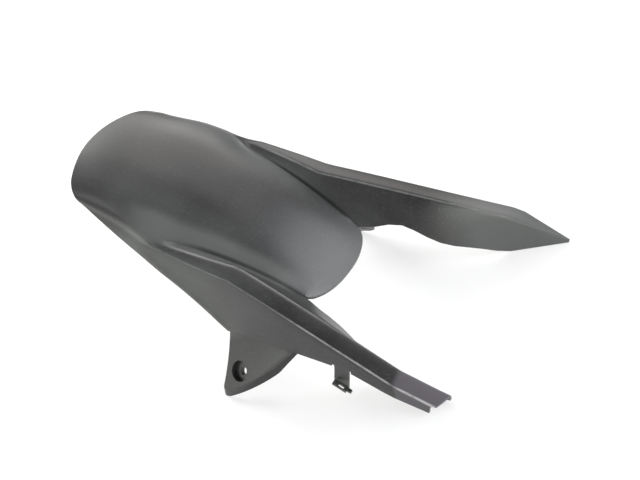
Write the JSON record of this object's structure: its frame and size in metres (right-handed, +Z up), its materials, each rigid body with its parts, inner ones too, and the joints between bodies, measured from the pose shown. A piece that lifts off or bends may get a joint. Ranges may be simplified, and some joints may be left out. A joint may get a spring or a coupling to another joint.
{
  "type": "motorcycle rear wheel hugger fender",
  "caption": "Moulded black plastic rear wheel hugger fender for a motorcycle, with two side skirts, a central tongue, two long fork arms, bolt lugs and a brake hose clip.",
  "frame": {"origin": "middle of the outline seen from above, on the surface that the fender rests on", "axes": "+X forward along the fender to the ends of its arms, +Y to the left side of the motorcycle, +Z up from the surface it rests on"},
  "size_m": [0.4538, 0.2846, 0.2319],
  "materials": {
    "moulded_plastic": "Unpainted black moulded plastic, matte, faded and lightly scuffed."
  },
  "bodies": {
    "root": {"rear_fender": "moulded_plastic"}
  },
  "joints": []
}
